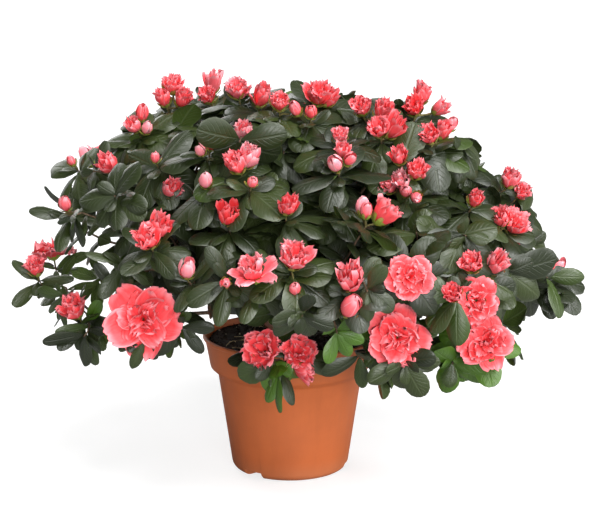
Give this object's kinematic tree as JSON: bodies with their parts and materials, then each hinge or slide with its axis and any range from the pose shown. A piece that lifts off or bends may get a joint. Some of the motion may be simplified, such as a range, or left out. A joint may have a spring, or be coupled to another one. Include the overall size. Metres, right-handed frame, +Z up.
{
  "type": "potted azalea shrub",
  "caption": "Low, wide, domed flowering shrub on a short stem in a tapered round pot with a rim band; leafy sprays hang round its edge. It stands on the pot's flat underside.",
  "frame": {"origin": "middle of the pot's flat underside", "axes": "+Z up along the pot's axis, +X to the right and -Y to the front of the plant"},
  "size_m": [0.4951, 0.4326, 0.3367],
  "materials": {
    "pot": "satin",
    "soil": "matte",
    "bark": "matte",
    "leaf": "satin",
    "petal": "matte"
  },
  "bodies": {
    "root": {"pot": "pot", "soil": "soil", "stem": "bark", "bough_lower_1": "bark", "bough_lower_2": "bark", "bough_lower_3": "bark", "bough_lower_4": "bark", "bough_lower_5": "bark", "bough_lower_6": "bark", "bough_lower_7": "bark", "bough_spray_back": "bark", "bough_spray_back_left": "bark", "bough_spray_back_right": "bark", "bough_spray_front": "bark", "bough_spray_front_left": "bark", "bough_spray_front_right": "bark", "bough_spray_left_low": "bark", "bough_spray_right_low": "bark", "bough_top": "bark", "bough_upper_1": "bark", "bough_upper_2": "bark", "bough_upper_3": "bark", "bough_upper_4": "bark", "bough_upper_5": "bark", "foliage_lower_1": "leaf", "foliage_lower_2": "leaf", "foliage_lower_3": "leaf", "foliage_lower_4": "leaf", "foliage_lower_5": "leaf", "foliage_lower_6": "leaf", "foliage_lower_7": "leaf", "foliage_top": "leaf", "foliage_upper_1": "leaf", "foliage_upper_2": "leaf", "foliage_upper_3": "leaf", "foliage_upper_4": "leaf", "foliage_upper_5": "leaf", "spray_back": "leaf", "spray_back_left": "leaf", "spray_back_right": "leaf", "spray_front": "leaf", "spray_front_left": "leaf", "spray_front_right": "leaf", "spray_left_back": "leaf", "spray_left_low": "leaf", "spray_left_tip": "leaf", "spray_right_back": "leaf", "spray_right_low": "leaf", "spray_right_tip": "leaf"}
  },
  "joints": []
}
